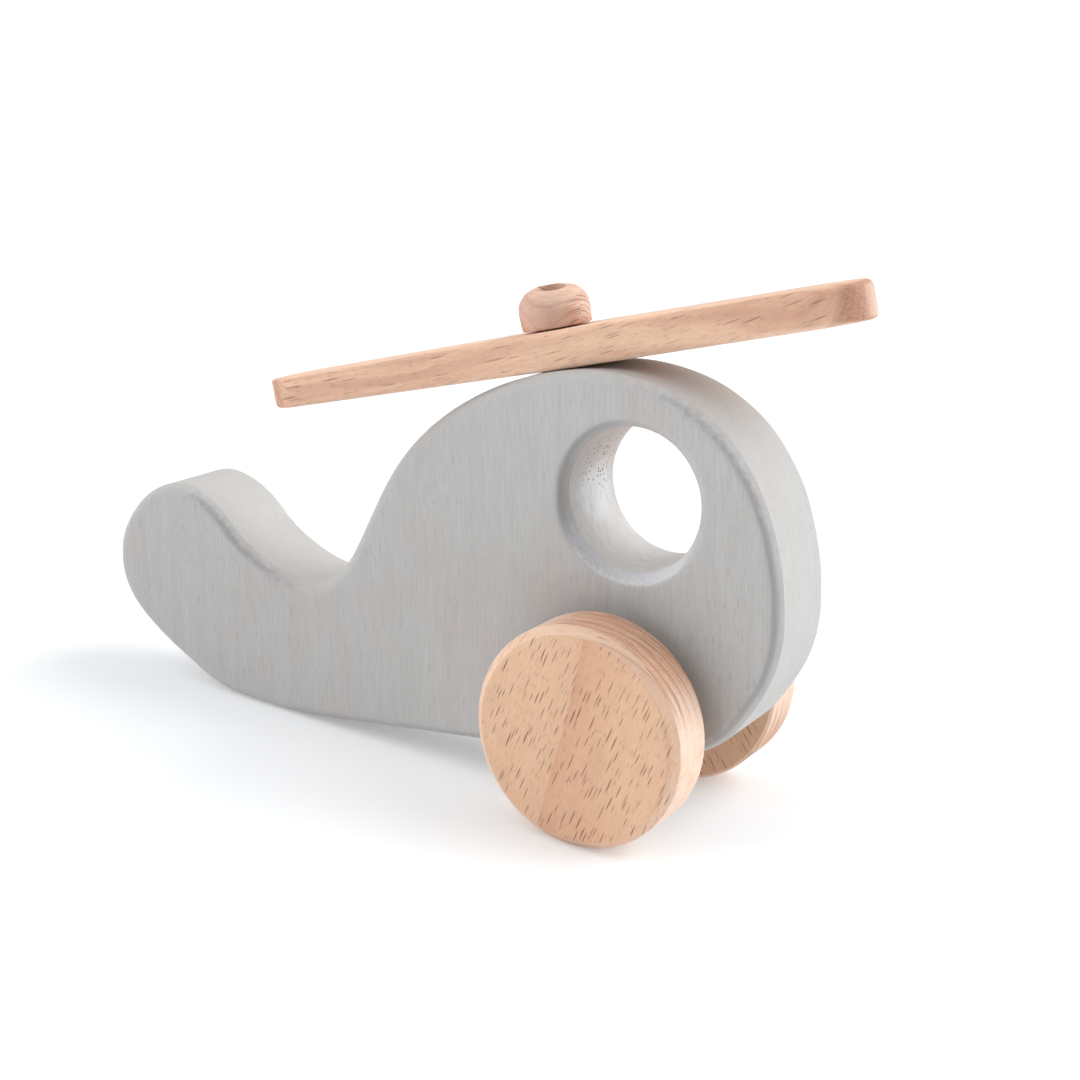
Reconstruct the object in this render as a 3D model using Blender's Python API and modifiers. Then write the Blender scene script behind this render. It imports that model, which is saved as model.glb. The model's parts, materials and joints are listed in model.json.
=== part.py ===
"""Wooden push-along toy helicopter, in metres, +X towards the nose and +Z up.

A stained beech body sawn from one board rolls on one pair of solid wheels and
rests on the tail end of its belly. A slat rotor turns on a dowel mast that
leans back square to the crown, under a turned bead.
"""

import math

import bmesh
import bpy
from mathutils import Matrix, Vector

MM = 0.001

# Body board
BOARD = 19.5 * MM  # thickness of the board
EDGE = 2.2 * MM  # roundover of every edge
WINDOW_X = -1.0 * MM  # window centre, measured from the axle
WINDOW_Z = 58.8 * MM
WINDOW_R = 12.9 * MM

# Wheels and axle
AXLE_X = 42.9 * MM  # the axle, from the middle of the toy's length
WHEEL_R = 20.0 * MM
WHEEL_T = 10.8 * MM
WHEEL_CHAMFER = 1.5 * MM  # on the outer rim
WHEEL_INNER_CHAMFER = 0.5 * MM
WHEEL_GAP = 4.2 * MM  # between the body and each wheel
AXLE_R = 3.0 * MM
AXLE_BORE_R = 3.3 * MM  # running bore through the body
WHEEL_BORE_R = 3.15 * MM  # glued blind bore in each wheel
WHEEL_BORE_DEPTH = 7.0 * MM

# Mast, rotor and cap
MAST_TILT = math.radians(16.6)  # leans back, square to the crown
MAST_X = -21.03 * MM  # where the mast leaves the crown, from the axle
MAST_Z = 77.53 * MM
MAST_R = 2.5 * MM
MAST_BORE_R = 2.65 * MM
MAST_BORE_DEPTH = 13.0 * MM
BLADE_YAW = math.radians(9.0)  # rest position of the rotor about the mast
BLADE_HALF = 57.5 * MM  # half the length of the slat
BLADE_SHIFT = -0.8 * MM  # from the mast to the middle of the slat, along it
BLADE_WIDTH = 15.0 * MM
BLADE_MID_T = 6.85 * MM  # thickness at the mast
BLADE_TAIL_T = 5.6 * MM  # thickness at the tip that points back
BLADE_NOSE_T = 6.8 * MM  # thickness at the tip that points forward
BLADE_CORNER_R = 6.5 * MM  # plan radius of the corners
BLADE_EDGE = 0.9 * MM
BLADE_BORE_R = 2.9 * MM
BLADE_LIFT = 0.2 * MM  # clearance over the crown
CAP_LIFT = 0.3 * MM  # clearance over the blade
# Radius and height of the bead's side in mm, from its bore down to its base.
CAP_SIDE = (
    (2.65, 7.53),
    (3.45, 7.18),
    (4.1, 6.88),
    (4.7, 6.53),
    (5.2, 6.1),
    (5.65, 5.58),
    (6.0, 5.03),
    (6.25, 4.43),
    (6.4, 3.55),
    (6.4, 2.3),
    (6.3, 0.4),
    (5.9, 0.0),
)
CAP_H = 7.05 * MM  # height on the axis of the bead's sanded top
CAP_SAND = 12.5  # degrees that the sanded top falls, and the way it falls
CAP_FALL = -41.8
CAP_BORE_R = 2.65 * MM
CAP_RECESS = 1.1 * MM  # the mast stops this far below the top of the cap

GLUE_GAP = 0.3 * MM  # left at the bottom of a blind bore

# The body's side view, anticlockwise from the tail end of the rest face. Each
# anchor has its x from the axle and its z in millimetres, its direction of
# travel in degrees, and the lengths of its two handles in millimetres.
OUTLINE = (
    (-81.0, 0.0, 0, 7.0, 2.0),  # rest face, tail end
    (-75.0, 0.0, 0, 2.0, 4.0),  # rest face, front end
    (-60.0, 1.7, 8.5, 5.0, 15.0),  # belly starts to rise
    (-7.3, 9.9, 9, 15.0, 12.5),  # belly under the axle
    (22.7, 22.5, 58, 9.0, 8.0),  # chin
    (29.1, 43.8, 95, 8.8, 10.5),  # nose
    (-4.9, 80.1, 178, 27.8, 14.6),  # top of the cabin
    (-44.9, 62.5, 227, 14.0, 12.4),  # back of the cabin
    (-59.5, 36.2, 244, 9.6, 5.0),  # foot of the cabin
    (-70.8, 27.6, 180, 5.0, 5.6),  # saddle
    (-89.1, 34.9, 137, 6.0, 5.4),  # rise to the tail
    (-102.0, 41.0, 179, 4.4, 6.8),  # top of the tail
    (-118.3, 23.0, 272, 10.2, 12.0),  # tail tip
    (-96.3, 2.8, 332, 8.0, 5.0),  # underside of the tail
)


def clear_scene():
    for obj in list(bpy.data.objects):
        bpy.data.objects.remove(obj, do_unlink=True)


def new_collection(name, hidden=False):
    made = bpy.data.collections.new(name)
    bpy.context.scene.collection.children.link(made)
    made.hide_render = hidden
    return made


def material(name, colour, roughness):
    made = bpy.data.materials.new(name)
    made.use_nodes = True
    shader = made.node_tree.nodes["Principled BSDF"]
    shader.inputs["Base Color"].default_value = (*colour, 1.0)
    shader.inputs["Roughness"].default_value = roughness
    shader.inputs["Metallic"].default_value = 0.0
    return made


def empty(name, parent, location, tilt=0.0):
    made = bpy.data.objects.new(name, None)
    PARTS.objects.link(made)
    made.parent = parent
    made.location = location
    made.rotation_euler = (0.0, tilt, 0.0)
    return made


def add_mesh(name, mesh, finish, parent, location=(0, 0, 0), rotation=(0, 0, 0)):
    made = bpy.data.objects.new(name, mesh)
    PARTS.objects.link(made)
    made.parent = parent
    made.location = location
    made.rotation_euler = rotation
    made.data.materials.append(finish)
    made.data.shade_smooth()
    made.data.set_sharp_from_angle(angle=math.radians(35))
    return made


def cutter_cylinder(name, radius, depth, parent, location, rotation, sides=40):
    """A cylinder along its own Z, centred on its location."""
    mesh = bpy.data.meshes.new(name)
    shape = bmesh.new()
    bmesh.ops.create_cone(
        shape,
        cap_ends=True,
        segments=sides,
        radius1=radius,
        radius2=radius,
        depth=depth,
    )
    shape.to_mesh(mesh)
    shape.free()
    made = bpy.data.objects.new(name, mesh)
    CUTTERS.objects.link(made)
    made.parent = parent
    made.location = location
    made.rotation_euler = rotation
    made.hide_render = True
    made.display_type = "WIRE"
    return made


def cut(target, cutter):
    modifier = target.modifiers.new("cut_" + cutter.name, "BOOLEAN")
    modifier.operation = "DIFFERENCE"
    modifier.solver = "EXACT"
    modifier.object = cutter


def bezier_loop(curve, anchors):
    """A closed spline through anchors of (point, handle before, handle after)."""
    spline = curve.splines.new("BEZIER")
    spline.bezier_points.add(len(anchors) - 1)
    spline.use_cyclic_u = True
    for knot, (point, before, after) in zip(spline.bezier_points, anchors):
        knot.handle_left_type = "FREE"
        knot.handle_right_type = "FREE"
        knot.co = (*point, 0)
        knot.handle_left = (*before, 0)
        knot.handle_right = (*after, 0)
    return spline


def outline_anchors():
    anchors = []
    for x, z, heading, before, after in OUTLINE:
        point = Vector((x, z)) * MM
        angle = math.radians(heading)
        travel = Vector((math.cos(angle), math.sin(angle))) * MM
        anchors.append((point, point - travel * before, point + travel * after))
    return anchors


def circle_anchors(centre_x, centre_y, radius):
    reach = radius * 4 / 3 * math.tan(math.pi / 8)
    anchors = []
    for quarter in range(4):
        angle = quarter * math.pi / 2
        out = Vector((math.cos(angle), math.sin(angle)))
        along = Vector((-out.y, out.x))
        point = Vector((centre_x, centre_y)) + out * radius
        anchors.append((point, point - along * reach, point + along * reach))
    return anchors


def rounded_bar_anchors(half_length, half_width, radius):
    """A rectangle with its corners rounded, anticlockwise from the lower right."""
    reach = radius * 4 / 3 * math.tan(math.pi / 8)
    x = half_length - radius
    y = half_width - radius
    anchors = []
    for centre_x, centre_y, start in ((x, -y, -90), (x, y, 0), (-x, y, 90), (-x, -y, 180)):
        first = math.radians(start)
        for angle, curved_before in ((first, False), (first + math.pi / 2, True)):
            out = Vector((math.cos(angle), math.sin(angle)))
            along = Vector((-out.y, out.x)) * reach
            point = Vector((centre_x, centre_y)) + out * radius
            before = point - along if curved_before else point.copy()
            after = point.copy() if curved_before else point + along
            anchors.append((point, before, after))
    return anchors


def slab_mesh(name, loops, thickness, edge, resolution, edge_steps):
    """Closed loops extruded to a slab with rounded edges, as a welded mesh."""
    curve = bpy.data.curves.new(name, "CURVE")
    curve.dimensions = "2D"
    curve.fill_mode = "BOTH"
    curve.resolution_u = resolution
    curve.extrude = thickness / 2 - edge
    curve.bevel_depth = edge
    curve.bevel_resolution = edge_steps
    curve.offset = -edge
    for anchors in loops:
        bezier_loop(curve, anchors)
    guide = bpy.data.objects.new(name + "_curve", curve)
    CUTTERS.objects.link(guide)
    guide.hide_render = True
    bpy.context.view_layer.update()
    graph = bpy.context.evaluated_depsgraph_get()
    mesh = bpy.data.meshes.new_from_object(guide.evaluated_get(graph))
    bpy.data.objects.remove(guide, do_unlink=True)
    mesh.materials.clear()
    mesh.name = name
    shape = bmesh.new()
    shape.from_mesh(mesh)
    bmesh.ops.remove_doubles(shape, verts=shape.verts, dist=0.00001)
    bmesh.ops.dissolve_limit(
        shape,
        angle_limit=math.radians(0.05),
        verts=shape.verts,
        edges=shape.edges,
    )
    bmesh.ops.recalc_face_normals(shape, faces=shape.faces)
    shape.to_mesh(mesh)
    shape.free()
    return mesh


def turned(name, profile, finish, parent, steps, location=(0, 0, 0), rotation=(0, 0, 0)):
    """A profile of (radius, height) points turned about the object's own Z.

    A profile that stays off the axis is closed on itself, into a ring.
    """
    mesh = bpy.data.meshes.new(name)
    points = [(radius, 0.0, height) for radius, height in profile]
    edges = [(i, i + 1) for i in range(len(points) - 1)]
    if points[0][0] > 0:
        edges.append((len(points) - 1, 0))
    mesh.from_pydata(points, edges, [])
    made = bpy.data.objects.new(name, mesh)
    PARTS.objects.link(made)
    made.parent = parent
    made.location = location
    made.rotation_euler = rotation
    made.data.materials.append(finish)
    screw = made.modifiers.new("turn", "SCREW")
    screw.axis = "Z"
    screw.steps = steps
    screw.render_steps = steps
    screw.use_merge_vertices = True
    screw.merge_threshold = 0.00002
    screw.use_smooth_shade = True
    return made


def make_body(finish, frame):
    loops = [outline_anchors(), circle_anchors(WINDOW_X, WINDOW_Z, WINDOW_R)]
    mesh = slab_mesh("body", loops, BOARD, EDGE, 10, 3)
    body = add_mesh("body", mesh, finish, frame, rotation=(math.radians(90), 0, 0))
    axle_bore = cutter_cylinder(
        "axle_bore",
        AXLE_BORE_R,
        BOARD * 2,
        frame,
        (0, 0, WHEEL_R),
        (math.radians(90), 0, 0),
    )
    cut(body, axle_bore)
    return body


def make_mast_bore(body, mast_axis):
    above = 10 * MM
    mast_bore = cutter_cylinder(
        "mast_bore",
        MAST_BORE_R,
        MAST_BORE_DEPTH + above,
        mast_axis,
        (0, 0, (above - MAST_BORE_DEPTH) / 2),
        (0, 0, 0),
    )
    cut(body, mast_bore)


def make_wheel(name, side, finish, wheel_axis):
    """A disc whose bored inner face looks at the body; side is -1 near, +1 far."""
    outer = WHEEL_T / 2
    inner = -WHEEL_T / 2
    floor = inner + WHEEL_BORE_DEPTH
    profile = (
        (0.0, outer),
        (WHEEL_R - WHEEL_CHAMFER, outer),
        (WHEEL_R, outer - WHEEL_CHAMFER),
        (WHEEL_R, inner + WHEEL_INNER_CHAMFER),
        (WHEEL_R - WHEEL_INNER_CHAMFER, inner),
        (WHEEL_BORE_R, inner),
        (WHEEL_BORE_R, floor),
        (0.0, floor),
    )
    offset = BOARD / 2 + WHEEL_GAP + WHEEL_T / 2
    return turned(
        name,
        profile,
        finish,
        wheel_axis,
        72,
        (0, side * offset, 0),
        (math.radians(-90 * side), 0, 0),
    )


def make_axle(finish, wheel_axis):
    half = BOARD / 2 + WHEEL_GAP + WHEEL_BORE_DEPTH - GLUE_GAP
    edge = 0.5 * MM
    profile = (
        (0.0, half),
        (AXLE_R - edge, half),
        (AXLE_R, half - edge),
        (AXLE_R, -half + edge),
        (AXLE_R - edge, -half),
        (0.0, -half),
    )
    turned("axle", profile, finish, wheel_axis, 40, (0, 0, 0), (math.radians(90), 0, 0))


def make_mast(finish, mast_axis):
    low = GLUE_GAP - MAST_BORE_DEPTH
    high = BLADE_LIFT + BLADE_MID_T + CAP_LIFT + CAP_H - CAP_RECESS
    edge = 0.3 * MM
    profile = (
        (0.0, high),
        (MAST_R - edge, high),
        (MAST_R, high - edge),
        (MAST_R, low + edge),
        (MAST_R - edge, low),
        (0.0, low),
    )
    turned("mast", profile, finish, mast_axis, 40)


def blade_scale(x):
    """Thickness at x along the slat as a share of the thickness at the mast."""
    tip = BLADE_NOSE_T if x > 0 else BLADE_TAIL_T
    share = abs(x) / BLADE_HALF
    return 1 + (tip / BLADE_MID_T - 1) * share


def make_blade(finish, mast_axis):
    loop = [
        [point + Vector((BLADE_SHIFT, 0)) for point in anchor]
        for anchor in rounded_bar_anchors(BLADE_HALF, BLADE_WIDTH / 2, BLADE_CORNER_R)
    ]
    mesh = slab_mesh("rotor_blade", [loop], BLADE_MID_T, BLADE_EDGE, 8, 2)
    shape = bmesh.new()
    shape.from_mesh(mesh)
    everything = list(shape.verts) + list(shape.edges) + list(shape.faces)
    bmesh.ops.bisect_plane(
        shape,
        geom=everything,
        dist=0.000001,
        plane_co=(0, 0, 0),
        plane_no=(1, 0, 0),
    )
    for vertex in shape.verts:
        vertex.co.z *= blade_scale(vertex.co.x)
    shape.to_mesh(mesh)
    shape.free()
    height = BLADE_LIFT + BLADE_MID_T / 2
    blade = add_mesh(
        "rotor_blade",
        mesh,
        finish,
        mast_axis,
        (0, 0, height),
        (0, 0, BLADE_YAW),
    )
    bore = cutter_cylinder(
        "blade_bore",
        BLADE_BORE_R,
        BLADE_MID_T * 3,
        mast_axis,
        (0, 0, height),
        (0, 0, 0),
    )
    cut(blade, bore)


def make_cap(finish, mast_axis):
    profile = [(radius * MM, height * MM) for radius, height in CAP_SIDE]
    profile.append((CAP_BORE_R, 0.0))
    lift = BLADE_LIFT + BLADE_MID_T + CAP_LIFT
    bead = turned("rotor_cap", profile, finish, mast_axis, 48, (0, 0, lift))
    size = 12 * MM
    shape = bmesh.new()
    bmesh.ops.create_cube(shape, size=2 * size)
    bmesh.ops.translate(shape, verts=shape.verts, vec=(0, 0, size))
    turn = Matrix.Rotation(math.radians(CAP_FALL), 4, "Z") @ Matrix.Rotation(math.radians(CAP_SAND), 4, "Y")
    bmesh.ops.transform(shape, matrix=turn, verts=shape.verts)
    mesh = bpy.data.meshes.new("cap_sanding")
    shape.to_mesh(mesh)
    shape.free()
    sanding = bpy.data.objects.new("cap_sanding", mesh)
    CUTTERS.objects.link(sanding)
    sanding.parent = mast_axis
    sanding.location = (0, 0, lift + CAP_H)
    cut(bead, sanding)


clear_scene()
PARTS = new_collection("toy_helicopter")
CUTTERS = new_collection("cutters", hidden=True)

stain = material("grey_stain", (0.52, 0.51, 0.50), 0.62)
beech_wheel = material("beech_wheel", (0.71, 0.44, 0.29), 0.55)
beech_blade = material("beech_blade", (0.75, 0.49, 0.34), 0.55)
beech_cap = material("beech_cap", (0.66, 0.42, 0.31), 0.55)
beech_dowel = material("beech_dowel", (0.62, 0.44, 0.31), 0.6)

toy = empty("toy_at_axle", None, (AXLE_X, 0, 0))
wheel_axis = empty("wheel_axis", toy, (0, 0, WHEEL_R))
mast_axis = empty("mast_axis", toy, (MAST_X, 0, MAST_Z), -MAST_TILT)

body = make_body(stain, toy)
make_mast_bore(body, mast_axis)
make_axle(beech_dowel, wheel_axis)
make_wheel("wheel_near", -1, beech_wheel, wheel_axis)
make_wheel("wheel_far", 1, beech_wheel, wheel_axis)
make_mast(beech_dowel, mast_axis)
make_blade(beech_blade, mast_axis)
make_cap(beech_cap, mast_axis)
bpy.context.view_layer.update()
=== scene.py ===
"""Looks for the wooden toy helicopter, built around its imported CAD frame.

Everything is in metres in the CAD's own frame: +X to the nose, -Y to the near
wheel, +Z up. Every piece is made in world coordinates, so a material's object
coordinates stay fixed to the wood when a wheel or the rotor turns.
"""

import json
import math

import bmesh
import bpy
from mathutils import Matrix, Vector, noise
from mathutils.geometry import delaunay_2d_cdt, interpolate_bezier


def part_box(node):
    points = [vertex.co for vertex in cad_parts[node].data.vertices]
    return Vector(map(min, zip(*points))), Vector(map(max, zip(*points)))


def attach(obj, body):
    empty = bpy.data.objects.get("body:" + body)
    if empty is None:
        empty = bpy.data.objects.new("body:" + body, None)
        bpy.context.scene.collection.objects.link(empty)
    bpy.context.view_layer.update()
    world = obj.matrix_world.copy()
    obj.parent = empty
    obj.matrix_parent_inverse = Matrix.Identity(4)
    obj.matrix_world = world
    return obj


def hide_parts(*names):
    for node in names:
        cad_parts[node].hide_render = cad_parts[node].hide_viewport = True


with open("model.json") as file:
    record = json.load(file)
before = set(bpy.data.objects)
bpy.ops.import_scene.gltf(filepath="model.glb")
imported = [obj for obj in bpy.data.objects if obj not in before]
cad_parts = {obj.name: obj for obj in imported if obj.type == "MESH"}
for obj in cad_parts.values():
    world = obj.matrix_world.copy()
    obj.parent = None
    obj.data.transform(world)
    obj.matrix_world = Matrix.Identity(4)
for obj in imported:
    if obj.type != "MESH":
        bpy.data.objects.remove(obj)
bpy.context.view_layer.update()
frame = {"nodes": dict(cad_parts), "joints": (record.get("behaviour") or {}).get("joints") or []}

MM = 0.001
Y_AXIS = Vector((0, 1, 0))
Z_AXIS = Vector((0, 0, 1))


# ---------------------------------------------------------------- places

def joint(name):
    found = [j for j in frame["joints"] if j["name"] == name][0]
    return Vector(found["pos_m"]), Vector(found["axis"]).normalized()


AXLE, _ = joint("wheel_roll")
MAST, MAST_UP = joint("rotor_spin")
MAST_FORE = Y_AXIS.cross(MAST_UP).normalized()  # square to the mast, to the nose

body_low, body_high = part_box("body")
HALF_BOARD = (body_high.y - body_low.y) / 2
wheel_low, wheel_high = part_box("wheel_near")
WHEEL_R = (wheel_high.z - wheel_low.z) / 2
WHEEL_T = wheel_high.y - wheel_low.y
WHEEL_OUT = abs(wheel_low.y)  # outer face of a wheel, from the middle plane


# ---------------------------------------------------------------- body shape

FACE_EDGE = 2.6 * MM  # how far the rounding reaches in on the face
FAR_WINDOW = 0.86  # how much less it reaches on the far side of the window
EDGE_SLOPE = math.radians(62)  # how steep it is where it meets the sawn edge in a crease
EDGE_TURNED = 0.8  # the share of its path by which it has turned that far
EDGE_STEPS = 10
BAND_STEPS = 10  # across the sawn edge between the two roundings
SANDING_WAVE = 9 * MM  # the size of the rounding's unevenness
SUPPORT = 0.3 * MM  # a narrow flat ring between a rounding and its face
BODY_CREASE = 24.0
WINDOW_X = -1.0 * MM  # from the axle
WINDOW_Z = 58.8 * MM
WINDOW_R = 12.9 * MM
AXLE_BORE_R = 3.3 * MM
MAST_BORE_R = 2.65 * MM
MAST_BORE_DEPTH = 13.0 * MM
CURVE_STEPS = 200
OUTLINE_STEP = 0.85 * MM
BODY_GRID = 2.2 * MM
ROW = 0.87  # height of a row of even triangles, by their side
CLEAR = 0.55  # how near to a ring a point inside the face comes, by the grid
FEWEST_POINTS = 24

# The side view, anticlockwise from the tail end of the rest face: x from the
# axle and z in mm, direction of travel in degrees, lengths of both handles.
OUTLINE = (
    (-81.0, 0.0, 0, 7.0, 2.0),  # rest face, tail end
    (-75.0, 0.0, 0, 2.0, 4.0),  # rest face, front end
    (-60.0, 1.7, 8.5, 5.0, 15.0),  # belly starts to rise
    (-7.3, 9.9, 9, 15.0, 12.5),  # belly under the axle
    (22.7, 22.5, 58, 9.0, 8.0),  # chin
    (29.1, 43.8, 95, 8.8, 10.5),  # nose
    (-4.9, 80.1, 178, 27.8, 14.6),  # top of the cabin
    (-44.9, 62.5, 227, 14.0, 12.4),  # back of the cabin
    (-59.5, 36.2, 244, 9.6, 5.0),  # foot of the cabin
    (-70.8, 27.6, 180, 5.0, 5.6),  # saddle
    (-89.1, 34.9, 137, 6.0, 5.4),  # rise to the tail
    (-102.0, 41.0, 179, 4.4, 6.8),  # top of the tail
    (-118.3, 23.0, 272, 10.2, 12.0),  # tail tip
    (-96.3, 2.8, 332, 8.0, 5.0),  # underside of the tail
)


def even_loop(points, spacing):
    """Points at even steps along a closed line of 2-D points."""
    lengths = [0.0]
    for i, point in enumerate(points):
        lengths.append(lengths[-1] + (points[(i + 1) % len(points)] - point).length)
    count = max(FEWEST_POINTS, round(lengths[-1] / spacing))
    made = []
    at = 0
    for step in range(count):
        goal = lengths[-1] * step / count
        while lengths[at + 1] < goal:
            at += 1
        share = (goal - lengths[at]) / (lengths[at + 1] - lengths[at])
        made.append(points[at].lerp(points[(at + 1) % len(points)], share))
    return made


def outline_loop():
    knots = []
    for x, z, heading, before, after in OUTLINE:
        point = Vector((AXLE.x / MM + x, z)) * MM
        angle = math.radians(heading)
        travel = Vector((math.cos(angle), math.sin(angle))) * MM
        knots.append((point, point - travel * before, point + travel * after))
    points = []
    for i, (point, _, after) in enumerate(knots):
        end, before, _ = knots[(i + 1) % len(knots)]
        points += [p.to_2d() for p in interpolate_bezier(
            point.to_3d(), after.to_3d(), before.to_3d(), end.to_3d(), CURVE_STEPS)[:-1]]
    return even_loop(points, OUTLINE_STEP)


def circle_loop(x, y, radius, count):
    angles = [math.tau * i / count for i in range(count)]
    return [Vector((x + radius * math.cos(a), y + radius * math.sin(a))) for a in angles]


def outward(points, is_hole):
    """Unit vectors out of the wood at each point of a loop run anticlockwise."""
    made = []
    for i, _ in enumerate(points):
        along = (points[(i + 1) % len(points)] - points[i - 1]).normalized()
        out = Vector((along.y, -along.x))
        made.append(-out if is_hole else out)
    return made


def inside(point, loop):
    """Whether a point is inside a loop, by how often a line out from it crosses the loop."""
    hit = False
    for i, a in enumerate(loop):
        b = loop[i - 1]
        if (a.y > point.y) != (b.y > point.y):
            if point.x < (b.x - a.x) * (point.y - a.y) / (b.y - a.y) + a.x:
                hit = not hit
    return hit


def fill_face(shape, rings, grid):
    """Fills a flat face between an outer ring and hole rings of 3-D verts with even triangles.

    The rings lie at one height; the first is the outer one.
    """
    height = rings[0][0].co.z
    corners = [v for ring in rings for v in ring]
    flat = [v.co.to_2d() for v in corners]
    loops = [[v.co.to_2d() for v in ring] for ring in rings]
    edges = []
    start = 0
    for ring in rings:
        edges += [(start + i, start + (i + 1) % len(ring)) for i in range(len(ring))]
        start += len(ring)
    low = Vector((min(p.x for p in flat), min(p.y for p in flat)))
    high = Vector((max(p.x for p in flat), max(p.y for p in flat)))
    rows = int((high.y - low.y) / (grid * ROW)) + 1
    columns = int((high.x - low.x) / grid) + 1
    extra = []
    for row in range(rows):
        for column in range(columns):
            at = Vector((low.x + grid * (column + 0.5 * (row % 2)), low.y + grid * ROW * row))
            if not inside(at, loops[0]) or any(inside(at, hole) for hole in loops[1:]):
                continue
            if min((at - p).length_squared for p in flat) > (CLEAR * grid) ** 2:
                extra.append(at)
    points, _, faces, origins, _, _ = delaunay_2d_cdt(flat + extra, edges, [], 0, 1e-9)
    verts = []
    for i, point in enumerate(points):
        source = origins[i][0] if origins[i] else -1
        if 0 <= source < len(corners):
            verts.append(corners[source])
        else:
            verts.append(shape.verts.new((point.x, point.y, height)))
    for face in faces:
        middle = sum((points[i] for i in face), Vector((0, 0))) / len(face)
        if inside(middle, loops[0]) and not any(inside(middle, hole) for hole in loops[1:]):
            shape.faces.new([verts[i] for i in face])


def loft(shape, points, outs, profile):
    """Rings of verts from a loop, one for each (inset, height) that profile(i) gives."""
    columns = []
    for i, (point, out) in enumerate(zip(points, outs)):
        columns.append([
            shape.verts.new((point.x - out.x * inset, point.y - out.y * inset, height))
            for inset, height in profile(i)
        ])
    for i, column in enumerate(columns):
        following = columns[(i + 1) % len(columns)]
        for k in range(len(column) - 1):
            shape.faces.new((column[k], following[k], following[k + 1], column[k + 1]))
    return [c[0] for c in columns], [c[-1] for c in columns]


def finish_mesh(name, shape, matrix, crease=30.0):
    bmesh.ops.recalc_face_normals(shape, faces=shape.faces)
    mesh = bpy.data.meshes.new(name)
    shape.to_mesh(mesh)
    shape.free()
    mesh.transform(matrix)
    made = bpy.data.objects.new(name, mesh)
    bpy.context.scene.collection.objects.link(made)
    mesh.shade_smooth()
    mesh.set_sharp_from_angle(angle=math.radians(crease))
    return made


BORE_SIDES = 48


def bored(piece, radius, length, centre, direction):
    """Cuts a round bore into a piece, and applies the cut."""
    shape = bmesh.new()
    bmesh.ops.create_cone(
        shape, cap_ends=True, segments=BORE_SIDES, radius1=radius, radius2=radius, depth=length)
    mesh = bpy.data.meshes.new("bore")
    shape.to_mesh(mesh)
    shape.free()
    cutter = bpy.data.objects.new("bore", mesh)
    bpy.context.scene.collection.objects.link(cutter)
    turn = direction.to_track_quat("Z", "Y").to_matrix().to_4x4()
    cutter.matrix_world = Matrix.Translation(centre) @ turn
    change = piece.modifiers.new("bore", "BOOLEAN")
    change.operation = "DIFFERENCE"
    change.solver = "EXACT"
    change.object = cutter
    bpy.context.view_layer.update()
    graph = bpy.context.evaluated_depsgraph_get()
    result = bpy.data.meshes.new_from_object(piece.evaluated_get(graph))
    piece.modifiers.clear()
    piece.data = result
    result.name = piece.name
    bpy.data.objects.remove(cutter)
    return piece


# The board is made flat, with z as its thickness, then stood up.
STAND = Matrix.Rotation(math.radians(90), 4, "X")


def make_body():
    shape = bmesh.new()
    outer = outline_loop()
    window = circle_loop(AXLE.x + WINDOW_X, WINDOW_Z, WINDOW_R, 150)
    bore = circle_loop(AXLE.x, AXLE.z, AXLE_BORE_R, 56)

    def rounding(reach):
        """(inset, height) down half a board's rim: it turns over slowly, then runs on to the crease."""
        path = [(0.0, 0.0)]
        for k in range(EDGE_STEPS):
            share = min(1.0, (k + 0.5) / EDGE_STEPS / EDGE_TURNED)
            slope = EDGE_SLOPE * share * share * (3 - 2 * share)
            path.append((path[-1][0] + math.cos(slope), path[-1][1] + math.sin(slope)))
        size = reach / path[-1][0]
        rim = [(reach + SUPPORT, HALF_BOARD)]
        return rim + [(reach - x * size, HALF_BOARD - y * size) for x, y in path]

    def rim_profile(loop, seed, is_window):
        def profile(i):
            p = loop[i]
            at = Vector((p.x / SANDING_WAVE, p.y / SANDING_WAVE, seed))
            reach = far_reach = FACE_EDGE
            if is_window:
                # Across the fibres, at the bottom of the window, the near side was sanded deeper.
                reach *= 1 + 0.2 * max(0.0, (WINDOW_Z - p.y) / WINDOW_R)
                far_reach *= FAR_WINDOW
            top = rounding(reach * (1 + 0.10 * noise.noise(at) + 0.03 * noise.noise(at * 6)))
            far = rounding(far_reach * (1 + 0.10 * noise.noise(at + Vector((0, 0, 40)))))
            high, low = top[-1][1], -far[-1][1]
            band = [(0.0, high + (low - high) * k / BAND_STEPS) for k in range(1, BAND_STEPS)]
            return top + band + [(inset, -height) for inset, height in reversed(far)]
        return profile

    tops, bottoms = [], []
    for loop, is_hole, seed in ((outer, False, 3.0), (window, True, 11.0)):
        top, bottom = loft(shape, loop, outward(loop, is_hole), rim_profile(loop, seed, is_hole))
        tops.append(top)
        bottoms.append(bottom)
    chamfer = 0.35 * MM
    bore_profile = [
        (chamfer, HALF_BOARD), (0.0, HALF_BOARD - chamfer), (0.0, 0.0),
        (0.0, chamfer - HALF_BOARD), (chamfer, -HALF_BOARD),
    ]
    top, bottom = loft(shape, bore, outward(bore, True), lambda i: bore_profile)
    tops.append(top)
    bottoms.append(bottom)
    fill_face(shape, tops, BODY_GRID)
    fill_face(shape, bottoms, BODY_GRID)
    body = finish_mesh("body_wood", shape, STAND, BODY_CREASE)
    above = 10 * MM
    middle = MAST_FOOT + MAST_UP * ((above - MAST_BORE_DEPTH) / 2)
    bored(body, MAST_BORE_R, MAST_BORE_DEPTH + above, middle, MAST_UP)
    body.data.set_sharp_from_angle(angle=math.radians(BODY_CREASE))
    return body


# ---------------------------------------------------------------- turned pieces

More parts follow.
